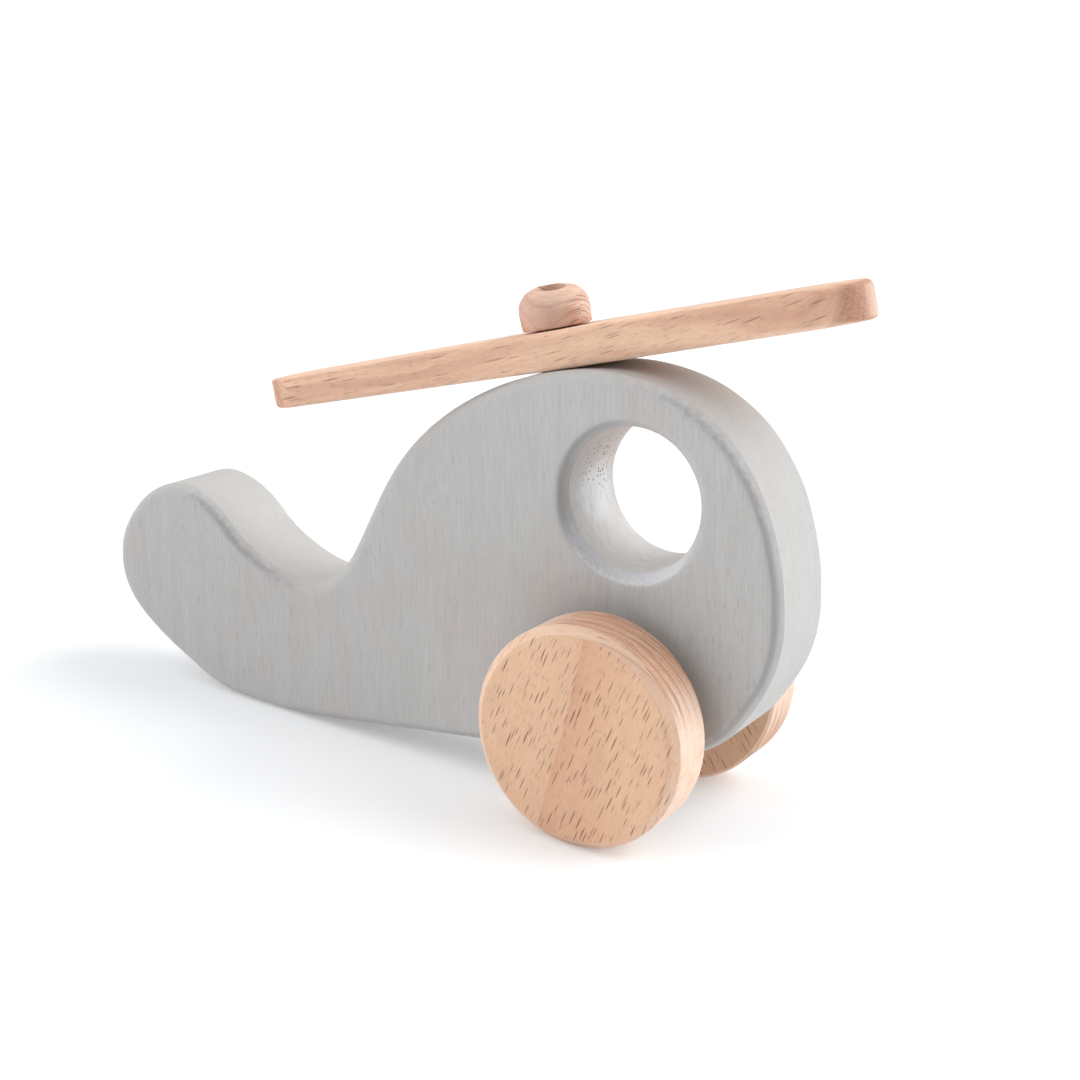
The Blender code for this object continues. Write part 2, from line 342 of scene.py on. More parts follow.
def turned(name, profile, steps, matrix, crease=30.0, change=None):
    """A closed profile of (radius, height) turned about Z. A radius of 0 is on the axis."""
    shape = bmesh.new()
    rings = []
    angles = [math.tau * i / steps for i in range(steps)]
    for radius, height in profile:
        if radius == 0.0:
            rings.append([shape.verts.new((0, 0, height))])
        else:
            rings.append([
                shape.verts.new((radius * math.cos(a), radius * math.sin(a), height)) for a in angles
            ])
    closed = profile[0][0] > 0.0
    pairs = list(zip(rings, rings[1:] + rings[:1])) if closed else list(zip(rings, rings[1:]))
    for first, second in pairs:
        for i in range(steps):
            j = (i + 1) % steps
            corners = [
                first[i % len(first)], first[j % len(first)],
                second[j % len(second)], second[i % len(second)],
            ]
            unique = [v for n, v in enumerate(corners) if v not in corners[:n]]
            shape.faces.new(unique)
    if change:
        for vert in shape.verts:
            change(vert)
    return finish_mesh(name, shape, matrix, crease)


WHEEL_CHAMFER = 1.5 * MM
WHEEL_INNER_CHAMFER = 0.5 * MM
WHEEL_BORE_R = 3.15 * MM
WHEEL_BORE_DEPTH = 7.0 * MM
WHEEL_SIDES = 160


def make_wheel(name, side):
    """A disc, its outer face up before it is stood on its edge; side is -1 near, +1 far."""
    half = WHEEL_T / 2
    soft = 0.22 * MM  # sanding that takes off the sharp corners
    corner = WHEEL_R - WHEEL_CHAMFER
    profile = [(0.0, half)]
    for share in (0.12, 0.3, 0.5, 0.7, 0.85, 0.95):
        profile.append((corner * share, half))
    profile += [
        (corner - soft, half),
        (corner - soft * 0.3, half - soft * 0.08),
        (corner + soft * 0.45, half - soft * 0.62),
        (WHEEL_R - soft * 0.62, half - WHEEL_CHAMFER + soft * 0.45),
        (WHEEL_R - soft * 0.08, half - WHEEL_CHAMFER - soft * 0.3),
        (WHEEL_R, half - WHEEL_CHAMFER - soft),
    ]
    high = half - WHEEL_CHAMFER - soft
    low = -half + WHEEL_INNER_CHAMFER
    for share in (0.25, 0.5, 0.75):
        profile.append((WHEEL_R, high * (1 - share) + low * share))
    profile += [
        (WHEEL_R, low),
        (WHEEL_R - WHEEL_INNER_CHAMFER, -half),
        (WHEEL_R - WHEEL_INNER_CHAMFER - 0.35 * MM, -half),
        (WHEEL_R * 0.6, -half),
        (WHEEL_BORE_R + 0.6 * MM, -half),
        (WHEEL_BORE_R + 0.3 * MM, -half),
        (WHEEL_BORE_R, -half + 0.3 * MM),
        (WHEEL_BORE_R, -half + WHEEL_BORE_DEPTH),
        (0.0, -half + WHEEL_BORE_DEPTH),
    ]
    place = Matrix.Translation((AXLE.x, side * (WHEEL_OUT - half), AXLE.z))
    return turned(name, profile, WHEEL_SIDES, place @ Matrix.Rotation(math.radians(-90 * side), 4, "X"))


# Blade and bead, measured up the mast from where it leaves the crown.
BLADE_LIFT = 0.2 * MM
BLADE_HALF = 57.4 * MM
BLADE_SHIFT = Vector((-0.8, 0.0)) * MM  # from the mast to the middle of the slat
BLADE_WIDTH = 15.0 * MM
BLADE_MID_T = 6.85 * MM
BLADE_TAIL_T = 5.6 * MM
BLADE_NOSE_T = 6.8 * MM
BLADE_CORNER_R = 6.5 * MM
BLADE_NOSE_REACH = 11.5 * MM  # how far the corners reach along it at the nose end
BLADE_STEP = 0.7 * MM
BLADE_GRID = 1.9 * MM
BLADE_WAVE = 16 * MM  # the size of the unevenness of its edges
BLADE_EDGE = 0.95  # mm, the radius of its edges
BLADE_TURNS = 5
CORNER_STEPS = 24
BLADE_BORE_R = 2.9 * MM
BLADE_YAW = math.radians(9.0)
CAP_LIFT = 0.3 * MM
CAP_H = 7.05 * MM  # on the axis of the sanded top
CAP_BORE_R = 2.65 * MM
CAP_BASE_R = 6.25 * MM
CAP_FOOT = BLADE_LIFT + BLADE_MID_T + CAP_LIFT

MAST_FOOT = MAST - MAST_UP * (BLADE_LIFT + BLADE_MID_T / 2)
UPRIGHT = Matrix((
    (MAST_FORE.x, 0, MAST_UP.x),
    (0, 1, 0),
    (MAST_FORE.z, 0, MAST_UP.z),
)).to_4x4()
ON_MAST = Matrix.Translation(MAST_FOOT) @ UPRIGHT


def bar_loop(half_length, half_width, radius, nose_reach, spacing):
    """The slat from above; its corners at the nose end reach further along it than across it."""
    points = []
    for corner_x, corner_y, start in ((1, -1, -90), (1, 1, 0), (-1, 1, 90), (-1, -1, 180)):
        reach = nose_reach if corner_x > 0 else radius
        centre = Vector((corner_x * (half_length - reach), corner_y * (half_width - radius)))
        for k in range(CORNER_STEPS + 1):
            angle = math.radians(start + 90 * k / CORNER_STEPS)
            points.append(centre + Vector((math.cos(angle) * reach, math.sin(angle) * radius)))
    return even_loop(points, spacing)


def make_blade():
    shape = bmesh.new()
    bar = bar_loop(BLADE_HALF, BLADE_WIDTH / 2, BLADE_CORNER_R, BLADE_NOSE_REACH, BLADE_STEP)
    outer = [p + BLADE_SHIFT for p in bar]
    bore = circle_loop(0.0, 0.0, BLADE_BORE_R, 48)
    half = BLADE_MID_T / 2

    def profile(i):
        at = outer[i]
        wander = noise.noise(Vector((at.x / BLADE_WAVE, at.y / BLADE_WAVE, 2.0)))
        # The upper edge is rounder towards the nose end.
        top = (BLADE_EDGE + 0.3 * wander + 0.55 * max(0.0, min(1.0, at.x / (30 * MM)))) * MM
        low = (BLADE_EDGE - 0.3 * wander) * MM
        rim = [(top + SUPPORT, half)]
        for k in range(BLADE_TURNS + 1):
            angle = math.pi / 2 * k / BLADE_TURNS
            rim.append((top * (1 - math.sin(angle)), half - top * (1 - math.cos(angle))))
        for k in range(1, 4):
            rim.append((0.0, (half - top) * (1 - k / 4) + (low - half) * k / 4))
        for k in range(BLADE_TURNS + 1):
            angle = math.pi / 2 * (1 - k / BLADE_TURNS)
            rim.append((low * (1 - math.sin(angle)), low * (1 - math.cos(angle)) - half))
        rim.append((low + SUPPORT, -half))
        return rim

    edge = 0.3 * MM
    bore_profile = [(edge, half), (0.0, half - edge), (0.0, 0.0), (0.0, edge - half), (edge, -half)]
    top_outer, low_outer = loft(shape, outer, outward(outer, False), profile)
    top_bore, low_bore = loft(shape, bore, outward(bore, True), lambda i: bore_profile)
    fill_face(shape, [top_outer, top_bore], BLADE_GRID)
    fill_face(shape, [low_outer, low_bore], BLADE_GRID)
    for vert in shape.verts:
        tip = BLADE_NOSE_T if vert.co.x > 0 else BLADE_TAIL_T
        vert.co.z *= 1 + (tip / BLADE_MID_T - 1) * abs(vert.co.x) / BLADE_HALF
    lift = Matrix.Translation((0, 0, BLADE_LIFT + half))
    return finish_mesh("rotor_slat", shape, ON_MAST @ lift @ Matrix.Rotation(BLADE_YAW, 4, "Z"), 32)


# Radius and height in mm of the bead's side, from its bore to its widest ring.
CAP_SIDE = (
    (2.65, 7.5),
    (3.45, 7.16),
    (4.1, 6.87),
    (4.7, 6.52),
    (5.2, 6.08),
    (5.64, 5.58),
    (5.98, 5.03),
    (6.22, 4.43),
    (6.38, 3.55),
    (6.38, 2.3),
)
CAP_STEPS = 4  # from one of those points to the next
CAP_SIDES = 96
CAP_SAND = math.radians(12.5)  # the bead's top is sanded off square by this much
CAP_FALL = math.radians(-41.8)  # the way the sanded top falls, from the nose


def catmull_rom(p0, p1, p2, p3, t):
    """A value on the smooth curve from p1 to p2."""
    square = (2 * p0 - 5 * p1 + 4 * p2 - p3) * t * t
    cube = (3 * p1 - p0 - 3 * p2 + p3) * t ** 3
    return 0.5 * MM * (2 * p1 + (p2 - p0) * t + square + cube)


def make_cap():
    profile = []
    for k, point in enumerate(CAP_SIDE[:-1]):
        before = CAP_SIDE[max(0, k - 1)]
        following = CAP_SIDE[k + 1]
        after = CAP_SIDE[min(len(CAP_SIDE) - 1, k + 2)]
        for step in range(CAP_STEPS):
            profile.append(tuple(
                catmull_rom(*four, step / CAP_STEPS) for four in zip(before, point, following, after)))
    profile.append((CAP_SIDE[-1][0] * MM, CAP_SIDE[-1][1] * MM))
    profile += [
        ((CAP_SIDE[-1][0] * MM + CAP_BASE_R) / 2, 1.2 * MM),
        (CAP_BASE_R, 0.35 * MM),
        (CAP_BASE_R - 0.1 * MM, 0.1 * MM),
        (CAP_BASE_R - 0.35 * MM, 0.0),
        (CAP_BORE_R, 0.0),
        (CAP_BORE_R, CAP_H * 0.5),
    ]
    fall = Vector((math.cos(CAP_FALL), math.sin(CAP_FALL))) * math.tan(CAP_SAND)

    def sand(vert):
        vert.co.z = min(vert.co.z, CAP_H - vert.co.x * fall.x - vert.co.y * fall.y)

    return turned("rotor_bead", profile, CAP_SIDES, ON_MAST @ Matrix.Translation((0, 0, CAP_FOOT)), 28, sand)


# ---------------------------------------------------------------- materials

def rgb(red, green, blue):
    """A colour given as it looks on screen, 0 to 255, as linear values."""
    return tuple(
        c / 12.92 if c <= 0.04045 else ((c + 0.055) / 1.055) ** 2.4
        for c in (red / 255, green / 255, blue / 255)
    )


class Net:
    """Short names for the nodes that the materials are made of."""

    def __init__(self, name):
        self.material = bpy.data.materials.new(name)
        self.material.use_nodes = True
        self.tree = self.material.node_tree
        self.shader = self.tree.nodes["Principled BSDF"]
        place = self.tree.nodes.new("ShaderNodeTexCoord")
        self.position = place.outputs["Object"]
        self.normal = place.outputs["Normal"]

    def put(self, socket, value):
        if isinstance(value, bpy.types.NodeSocket):
            self.tree.links.new(value, socket)
        elif value is not None:
            if isinstance(value, tuple) and socket.type == "RGBA" and len(value) == 3:
                value = (*value, 1.0)
            socket.default_value = value

    def math(self, operation, first, second=None, third=None, clamp=False):
        node = self.tree.nodes.new("ShaderNodeMath")
        node.operation = operation
        node.use_clamp = clamp
        for socket, value in zip(node.inputs, (first, second, third)):
            self.put(socket, value)
        return node.outputs[0]

    def product(self, first, *others):
        for value in others:
            first = self.math("MULTIPLY", first, value)
        return first

    def vector(self, operation, first, second=None, output=0):
        node = self.tree.nodes.new("ShaderNodeVectorMath")
        node.operation = operation
        self.put(node.inputs[0], first)
        self.put(node.inputs[1], second)
        return node.outputs[output]

    def dot(self, first, second):
        return self.vector("DOT_PRODUCT", first, tuple(second), 1)

    def length(self, value):
        return self.vector("LENGTH", value, None, 1)

    def from_place(self, place):
        """The way from a place to the shaded point."""
        return self.vector("SUBTRACT", self.position, tuple(place))

    def combine(self, x, y, z):
        node = self.tree.nodes.new("ShaderNodeCombineXYZ")
        for socket, value in zip(node.inputs, (x, y, z)):
            self.put(socket, value)
        return node.outputs[0]

    def stretched(self, values, factors):
        """A vector of three values, each times its factor."""
        return self.combine(*(self.math("MULTIPLY", v, f) for v, f in zip(values, factors)))

    def noise(self, vector, scale=1.0, detail=2.0, roughness=0.5, output="Fac"):
        node = self.tree.nodes.new("ShaderNodeTexNoise")
        self.put(node.inputs["Vector"], vector)
        node.inputs["Scale"].default_value = scale
        node.inputs["Detail"].default_value = detail
        node.inputs["Roughness"].default_value = roughness
        return node.outputs[output]

    def cells(self, vector, dimensions="3D", scatter=1.0):
        node = self.tree.nodes.new("ShaderNodeTexVoronoi")
        node.voronoi_dimensions = dimensions
        self.put(node.inputs["Vector"], vector)
        node.inputs["Scale"].default_value = 1.0
        node.inputs["Randomness"].default_value = scatter
        return node.outputs["Distance"], node.outputs["Color"]

    def chance(self, value):
        """A random number for each whole number."""
        node = self.tree.nodes.new("ShaderNodeTexWhiteNoise")
        node.noise_dimensions = "1D"
        self.put(node.inputs["W"], value)
        return node.outputs["Value"]

    def span(self, value, low, high, to_low=0.0, to_high=1.0, smooth=True):
        node = self.tree.nodes.new("ShaderNodeMapRange")
        node.interpolation_type = "SMOOTHSTEP" if smooth else "LINEAR"
        for socket, number in zip(node.inputs, (value, low, high, to_low, to_high)):
            self.put(socket, number)
        return node.outputs[0]

    def split(self, colour):
        node = self.tree.nodes.new("ShaderNodeSeparateColor")
        self.put(node.inputs[0], colour)
        return node.outputs

    def mix(self, share, first, second):
        node = self.tree.nodes.new("ShaderNodeMix")
        node.data_type = "RGBA"
        self.put(node.inputs[0], share)
        self.put(node.inputs[6], first)
        self.put(node.inputs[7], second)
        return node.outputs[2]

    def bump(self, height, strength):
        node = self.tree.nodes.new("ShaderNodeBump")
        node.inputs["Strength"].default_value = strength
        node.inputs["Distance"].default_value = GRAIN_RELIEF
        self.put(node.inputs["Height"], height)
        self.put(self.shader.inputs["Normal"], node.outputs[0])

    def finish(self, colour, rough, specular, height, strength):
        self.put(self.shader.inputs["Base Color"], colour)
        self.put(self.shader.inputs["Roughness"], rough)
        self.shader.inputs["Specular IOR Level"].default_value = specular
        self.bump(height, strength)
        return self.material


GRAIN_RELIEF = 0.06 * MM
SWAY_FROM = 25.0  # mm before the middle of a piece, where its fibres start to lean over


class Grain:
    """Where a point lies in the tree: rings about a pith, rays across them, fibres along it.

    along is the direction of the fibres, outward_way the way from the pith to
    the middle of the piece, and depth the distance between those two in mm.
    """

    def __init__(self, net, centre, along, outward_way, depth, ring_mm, wander=1.6, sway=0.0):
        along = Vector(along).normalized()
        outward_way = Vector(outward_way)
        outward_way = (outward_way - along * outward_way.dot(along)).normalized()
        side = along.cross(outward_way)
        moved = net.from_place(centre)
        c = net.dot(moved, along / MM)
        a = net.dot(moved, outward_way / MM)
        b = net.dot(moved, side / MM)
        if sway:
            # The fibres lean further over as they go along.
            run = net.math("MAXIMUM", net.math("ADD", c, SWAY_FROM), 0.0)
            b = net.math("SUBTRACT", b, net.math("MULTIPLY", net.math("POWER", run, 2.0), sway))
        drift = net.noise(net.stretched((a, b, c), (0.045, 0.045, 0.018)), output="Color")
        drift_a, drift_b, _ = net.split(drift)
        a = net.math("ADD", a, net.math("MULTIPLY_ADD", drift_a, 2 * wander, depth - wander))
        b = net.math("ADD", b, net.math("MULTIPLY_ADD", drift_b, 2 * wander, -wander))
        squares = net.math("ADD", net.math("MULTIPLY", a, a), net.math("MULTIPLY", b, b))
        self.rho = net.math("SQRT", squares)
        self.t = net.math("MULTIPLY", net.math("ARCTAN2", b, a), depth)
        self.c = c
        self.square = (a, b, c)
        self.round = (self.rho, self.t, c)
        ring = net.math("MULTIPLY", self.rho, 1 / ring_mm)
        self.part = net.math("FRACT", ring)
        self.ring = net.math("FLOOR", ring)
        self.net = net
        end = net.dot(net.normal, along)
        self.end = net.math("MULTIPLY", end, end)  # 1 where the fibres are cut across
        edge = net.dot(net.normal, side)
        self.radial = net.math("MULTIPLY", edge, edge)  # 1 where the rays lie in the surface

    def noise(self, factors, detail=2.0, roughness=0.5):
        """Noise stretched by a factor out from the pith, one across that and one along the fibres."""
        return self.net.noise(self.net.stretched(self.square, factors), 1.0, detail, roughness)

    def ring_noise(self, factors, detail=2.0, roughness=0.5):
        """The same, with the first two directions bent round the pith with the rings."""
        return self.net.noise(self.net.stretched(self.round, factors), 1.0, detail, roughness)

    def fibres(self, across, along, detail=2.0):
        return self.noise((across, across, along), detail, 0.55)

    def tone(self, jump=0.45, fall=1.6, layer_scale=1.2):
        """0 to 1: a jump at the start of each ring that fades across it, over thin uneven layers."""
        net = self.net
        strength = net.span(net.chance(self.ring), 0.0, 1.0, 0.6, 1.0)
        fade = net.product(net.math("POWER", net.math("SUBTRACT", 1.0, self.part), fall), strength)
        layers = self.ring_noise((layer_scale, 0.05, 0.018), 3.0, 0.6)
        return net.math("ADD", net.product(fade, jump), net.span(layers, 0.3, 0.7, 0.0, 1 - jump))

    def ring_line(self, width=0.09):
        """The thin dark line at the outer edge of each ring."""
        return self.net.span(self.part, 1 - 2 * width, 1.0)

    def rays(self, width, height, size_low, size_high, share, seed=0.0):
        """The wood's rays, 0 to 1: ribbons running out from the pith, cut to spindles by a face."""
        net = self.net
        bend = net.combine(net.math("MULTIPLY", self.rho, 0.3), self.t, net.math("MULTIPLY", self.c, 0.8))
        wobble = net.noise(bend, 0.9, 1.0, 0.5)
        across = net.math("MULTIPLY_ADD", wobble, 0.12, net.math("MULTIPLY", self.t, 1 / width))
        spot = net.combine(across, net.math("MULTIPLY_ADD", self.c, 1 / height, seed), 0.0)
        distance, colour = net.cells(spot, "2D", 0.85)
        chance, pick, strength = net.split(colour)
        size = net.span(chance, 0.0, 1.0, size_low, size_high, False)
        mask = net.span(distance, size, net.math("MULTIPLY", size, 0.45))
        shown = net.span(pick, share + 0.02, share - 0.02)
        return net.product(mask, shown, net.span(strength, 0.0, 1.0, 0.5, 1.0, False))


END_DARK = rgb(176, 122, 98)
END_PALE = rgb(246, 226, 210)
DASHES = (0.55, 2.4, 0.14, 0.32, 0.45, 31.0)  # short fine flecks between the rays


def beech(name, centre, along, outward_way, depth, ring_mm, light, deep, ray_dark, rays,
          ray_amount=0.9, jump=0.45, fall=1.6, layer_scale=1.2, ring_amount=0.2,
          end_from=0.25, end_to=0.7, end_shade=0.35, end_pale=0.0, chalk_amount=0.45, bevel_pale=0.0,
          flake=0.4, mottle=0.05, fibre_amount=0.16, sway=0.0, wander=1.6, middle=0.0, stripe=None):
    """Bare beech; light and deep end its range of tones, and each amount is how strongly a mark shows."""
    net = Net(name)
    grain = Grain(net, centre, along, outward_way, depth, ring_mm, wander, sway)
    tone = grain.tone(jump, fall, layer_scale)
    broad = grain.noise((0.1, 0.1, 0.03))
    tone = net.math("ADD", tone, net.math("MULTIPLY_ADD", broad, 0.5, -0.25), clamp=True)
    colour = net.mix(tone, light, deep)
    if middle:
        # Painted light: paler around the middle of its length, where the light grey crown close below throws
        # light up onto it.
        painted_bounce = net.span(net.math("ABSOLUTE", grain.c), 50.0, 5.0, 0.0, middle)
        colour = net.mix(painted_bounce, colour, tuple(min(1.0, c * 1.12) for c in light))
    # Where the rays lie in the surface their flakes make it paler.
    silver = net.span(grain.ring_noise((0.25, 2.0, 0.5)), 0.3, 0.7, flake * 0.5, flake)
    colour = net.mix(net.product(net.span(grain.radial, 0.1, 0.8), silver), colour, END_PALE)
    # Cut across the fibres the wood soaks up more finish: darker and redder, chalky where cut square.
    cut = net.span(grain.end, end_from, end_to)
    colour = net.mix(net.product(cut, end_shade), colour, END_DARK)
    colour = net.mix(net.product(net.span(grain.end, 0.6, 0.95), end_pale), colour, END_PALE)
    if bevel_pale:
        slanted = net.product(net.span(grain.end, 0.10, 0.30), net.span(grain.end, 0.80, 0.55))
        colour = net.mix(net.product(slanted, bevel_pale), colour, END_PALE)
    pores = grain.noise((5.5, 5.5, 0.5), 1.0)
    pore = net.span(pores, 0.54, 0.72)
    colour = net.mix(net.product(pore, net.math("MULTIPLY_ADD", cut, 0.16, 0.12)), colour, ray_dark)
    chalk = net.product(net.span(pores, 0.46, 0.30), net.product(cut, chalk_amount))
    colour = net.mix(chalk, colour, END_PALE)
    # The rings show there as thin reddish lines.
    streaks = net.span(grain.ring_noise((2.6, 0.10, 0.10), 2.0, 0.6), 0.54, 0.66)
    lines = net.math("MAXIMUM", streaks, grain.ring_line())
    lines = net.product(lines, net.math("MULTIPLY_ADD", cut, ring_amount, ring_amount * 0.1))
    colour = net.mix(lines, colour, tuple(c * 0.80 for c in END_DARK))
    fibre = grain.fibres(3.2, 0.35, 3.0)
    browner = tuple(c * s for c, s in zip(light, (0.82, 0.72, 0.66)))
    colour = net.mix(net.span(fibre, 0.34, 0.70, 0.0, fibre_amount), colour, browner)
    spots = grain.noise((1.1, 1.1, 0.45), 3.0, 0.65)
    colour = net.mix(net.span(spots, 0.35, 0.65, 0.0, mottle), colour, ray_dark)
    if stripe:
        # Darker below a wavy level.
        foot, way, level, stripe_colour, stripe_amount = stripe
        height = net.dot(net.from_place(foot), way / MM)
        wave = net.noise(net.position, 260.0, 3.0, 0.6)
        height = net.math("ADD", height, net.math("MULTIPLY_ADD", wave, 3.0, -1.5))
        below = net.span(height, level + 0.5, level - 0.5, 0.0, stripe_amount)
        colour = net.mix(below, colour, stripe_colour)
    # Flecks of the rays, which fade where the rays lie in the surface and go where the fibres are cut.
    ray = grain.rays(*rays)
    show = net.product(net.span(grain.radial, 0.1, 0.8, 1.0, 0.25), net.span(grain.end, 0.05, 0.3, 1.0, 0.0))
    colour = net.mix(net.product(grain.rays(*DASHES), show, ray_amount * 0.38), colour, ray_dark)
    colour = net.mix(net.product(ray, show, ray_amount), colour, ray_dark)
    rough = net.math("ADD", net.product(fibre, 0.14), net.math("MULTIPLY_ADD", ray, -0.08, 0.47))
    height = net.math("ADD", net.product(fibre, 0.5), net.product(net.math("ADD", ray, pore), -0.35))
    return net.finish(colour, rough, 0.35, height, 0.9)


def make_stain():
    """Thin grey stain on flat-sawn beech: the wood's own streaks and pink show through."""
    net = Net("grey_stained_beech")
    grain = Grain(net, (0.012, 0.0, 0.045), (-0.112, 0.0, 0.994), (0.25, 0.97, 0.0), 85.0, 3.4, 2.4)
    colour = net.mix(net.span(grain.tone(0.5), 0.1, 1.0, 0.0, 0.3), rgb(191, 191, 190), rgb(182, 181, 180))
    # Wide soft patches where the pink of the wood shows.
    patch = grain.noise((0.07, 0.07, 0.035), 3.0, 0.55)
    colour = net.mix(net.span(patch, 0.47, 0.72, 0.0, 0.75), colour, rgb(192, 183, 179))
    # Streaks left by the brush and the fibres.
    wide = grain.fibres(0.45, 0.02, 2.0)
    colour = net.mix(net.span(wide, 0.35, 0.7, 0.0, 0.22), colour, rgb(202, 202, 202))
    fine = grain.fibres(4.4, 0.10, 3.0)
    colour = net.mix(net.span(fine, 0.32, 0.66, 0.0, 0.42), colour, rgb(174, 172, 170))
    hairs = net.span(grain.noise((7.0, 7.0, 0.35), 1.0), 0.60, 0.74)
    colour = net.mix(net.product(hairs, 0.30), colour, rgb(151, 145, 142))
    # The rays fade on the sawn edges, where they would lie as long lines.
    ray = grain.rays(0.9, 6.5, 0.10, 0.22, 0.4)
    on_face = net.product(
        net.span(grain.radial, 0.1, 0.6, 1.0, 0.0), net.span(grain.end, 0.05, 0.3, 1.0, 0.0))
    colour = net.mix(net.product(net.product(ray, on_face), 0.28), colour, rgb(142, 135, 132))
    # Cut across the fibres: darker and pinker.
    ends = net.span(grain.end, 0.35, 0.95)
    colour = net.mix(net.product(ends, 0.16), colour, rgb(189, 182, 178))
    facing = net.math("ABSOLUTE", net.dot(net.normal, (0.0, 1.0, 0.0)))
    upward = net.dot(net.normal, (0.0, 0.0, 1.0))
    colour, pore = window_wall(net, grain, colour, facing, upward)
    colour = rim_shade_and_comb(net, grain, colour, facing, upward)
    rough = net.math("MULTIPLY_ADD", fine, 0.16, 0.52)
    hollows = net.math("ADD", net.product(hairs, 0.5), pore)
    height = net.math("ADD", net.product(fine, 0.7), net.product(hollows, -0.6))
    return net.finish(colour, rough, 0.32, height, 0.8)


WINDOW_MIDDLE = Vector((AXLE.x + WINDOW_X, 0.0, WINDOW_Z))


def window_wall(net, grain, colour, facing, upward):
    """The window's wall, with painted light and a painted highlight on it, its stained places, and the pores
    in one patch of it.
    """
    distance, colours = net.cells(net.stretched(grain.square, (1.35, 1.35, 1.35)))
    pick, _, _ = net.split(colours)
    pore = net.product(net.span(distance, 0.33, 0.18), net.span(pick, 0.36, 0.50))
    from_axis = net.length(net.vector("MULTIPLY", net.from_place(WINDOW_MIDDLE), (1.0, 0.0, 1.0)))
    near_wall = net.span(from_axis, WINDOW_R + 0.6 * MM, WINDOW_R + 0.2 * MM)
    wall = net.product(near_wall, net.span(facing, 0.5, 0.2))
    # The pores are on the tail side.
    pore_middle = WINDOW_MIDDLE + Vector((-0.0122, 0.002, 0.0035))
    away = net.length(net.from_place(pore_middle))
    pore = net.product(pore, net.span(away, 0.0085, 0.0045), wall)
    # Painted light: paler, most of all below, where the wall faces up. Pinker above.
    painted_wall_light = net.product(wall, net.span(upward, 0.2, 0.9, 0.28, 0.75))
    colour = net.mix(painted_wall_light, colour, rgb(214, 212, 210))
    pink = net.product(wall, net.span(upward, 0.1, -0.5, 0.0, 0.55))
    colour = net.mix(pink, colour, rgb(196, 180, 173))
    # A painted highlight: a pale bluish patch on the wall, on the tail side.
    painted_glint_middle = WINDOW_MIDDLE + Vector((-0.0125, 0.001, -0.003))
    painted_glint = net.span(net.length(net.from_place(painted_glint_middle)), 0.0075, 0.003)
    colour = net.mix(net.product(painted_glint, wall, 0.6), colour, rgb(226, 229, 232))
    lines = grain.noise((2.6, 0.3, 0.5), 2.0, 0.6)
    colour = net.mix(net.product(wall, net.span(lines, 0.45, 0.7, 0.0, 0.35)), colour, rgb(168, 160, 154))
    return net.mix(net.product(pore, 0.9), colour, rgb(76, 66, 60)), pore


def rim_shade_and_comb(net, grain, colour, facing, upward):
    """A rounded rim: painted shade where it turns to the nose, and white stain combed into the fibres where
    they are cut across, with a painted highlight where it faces up.
    """
    comb = grain.noise((2.4, 2.4, 0.12), 2.0, 0.6)
    shifted = net.math("MULTIPLY_ADD", comb, 0.22, net.math("SUBTRACT", facing, 0.11))
    forward = net.dot(net.normal, (1.0, 0.0, 0.0))
    # Painted shade: the rounding is darkened towards grey, most where it turns to the nose.
    rim = net.product(net.span(facing, 1.0, 0.86), net.span(facing, 0.35, 0.72))
    rim = net.product(rim, net.span(forward, -0.05, 0.35, 0.04, 0.36))
    colour = net.mix(rim, colour, rgb(120, 118, 118))
    # White stain caught in the raised fibres, kept to faces that look up or forward, so it is also a painted
    # highlight.
    teeth = net.product(net.span(shifted, 1.0, 0.92), net.span(facing, 0.30, 0.42))
    window_foot = WINDOW_MIDDLE - Vector((0.0, 0.0, WINDOW_R))
    by_window = net.span(net.length(net.from_place(window_foot)), 0.020, 0.013)
    uneven = net.span(net.noise(net.position, 800.0, 2.0, 0.6), 0.42, 0.62, 0.08, 0.40)
    in_places = net.product(uneven, net.span(forward, -0.2, 0.1))
    where = net.math("MAXIMUM", by_window, in_places)
    stain_and_highlight_comb = net.product(net.product(teeth, net.span(upward, 0.08, 0.40)), where)
    comb_light = net.span(comb, 0.3, 0.7, 0.45, 0.85)
    return net.mix(net.product(stain_and_highlight_comb, comb_light), colour, rgb(214, 216, 221))


def give(piece, material):
    piece.data.materials.clear()
    piece.data.materials.append(material)
    return piece


def keep(node, material):
    """A CAD node that stays as it is, with a better finish."""
    for place in frame["nodes"][node].material_slots:
        place.link = "OBJECT"
        place.material = material


WHEEL_LOOK = dict(
    light=rgb(236, 197, 164), deep=rgb(213, 160, 130), ray_dark=rgb(138, 88, 66),
    rays=(0.72, 8.6, 0.13, 0.26, 0.85), jump=0.7, fall=4.0, wander=0.2,
    ring_amount=0.8, bevel_pale=0.3, flake=0.7, mottle=0.03,
)
DOWEL_LOOK = dict(ray_amount=0.5, rays=(0.6, 3.0, 0.14, 0.3, 0.5))


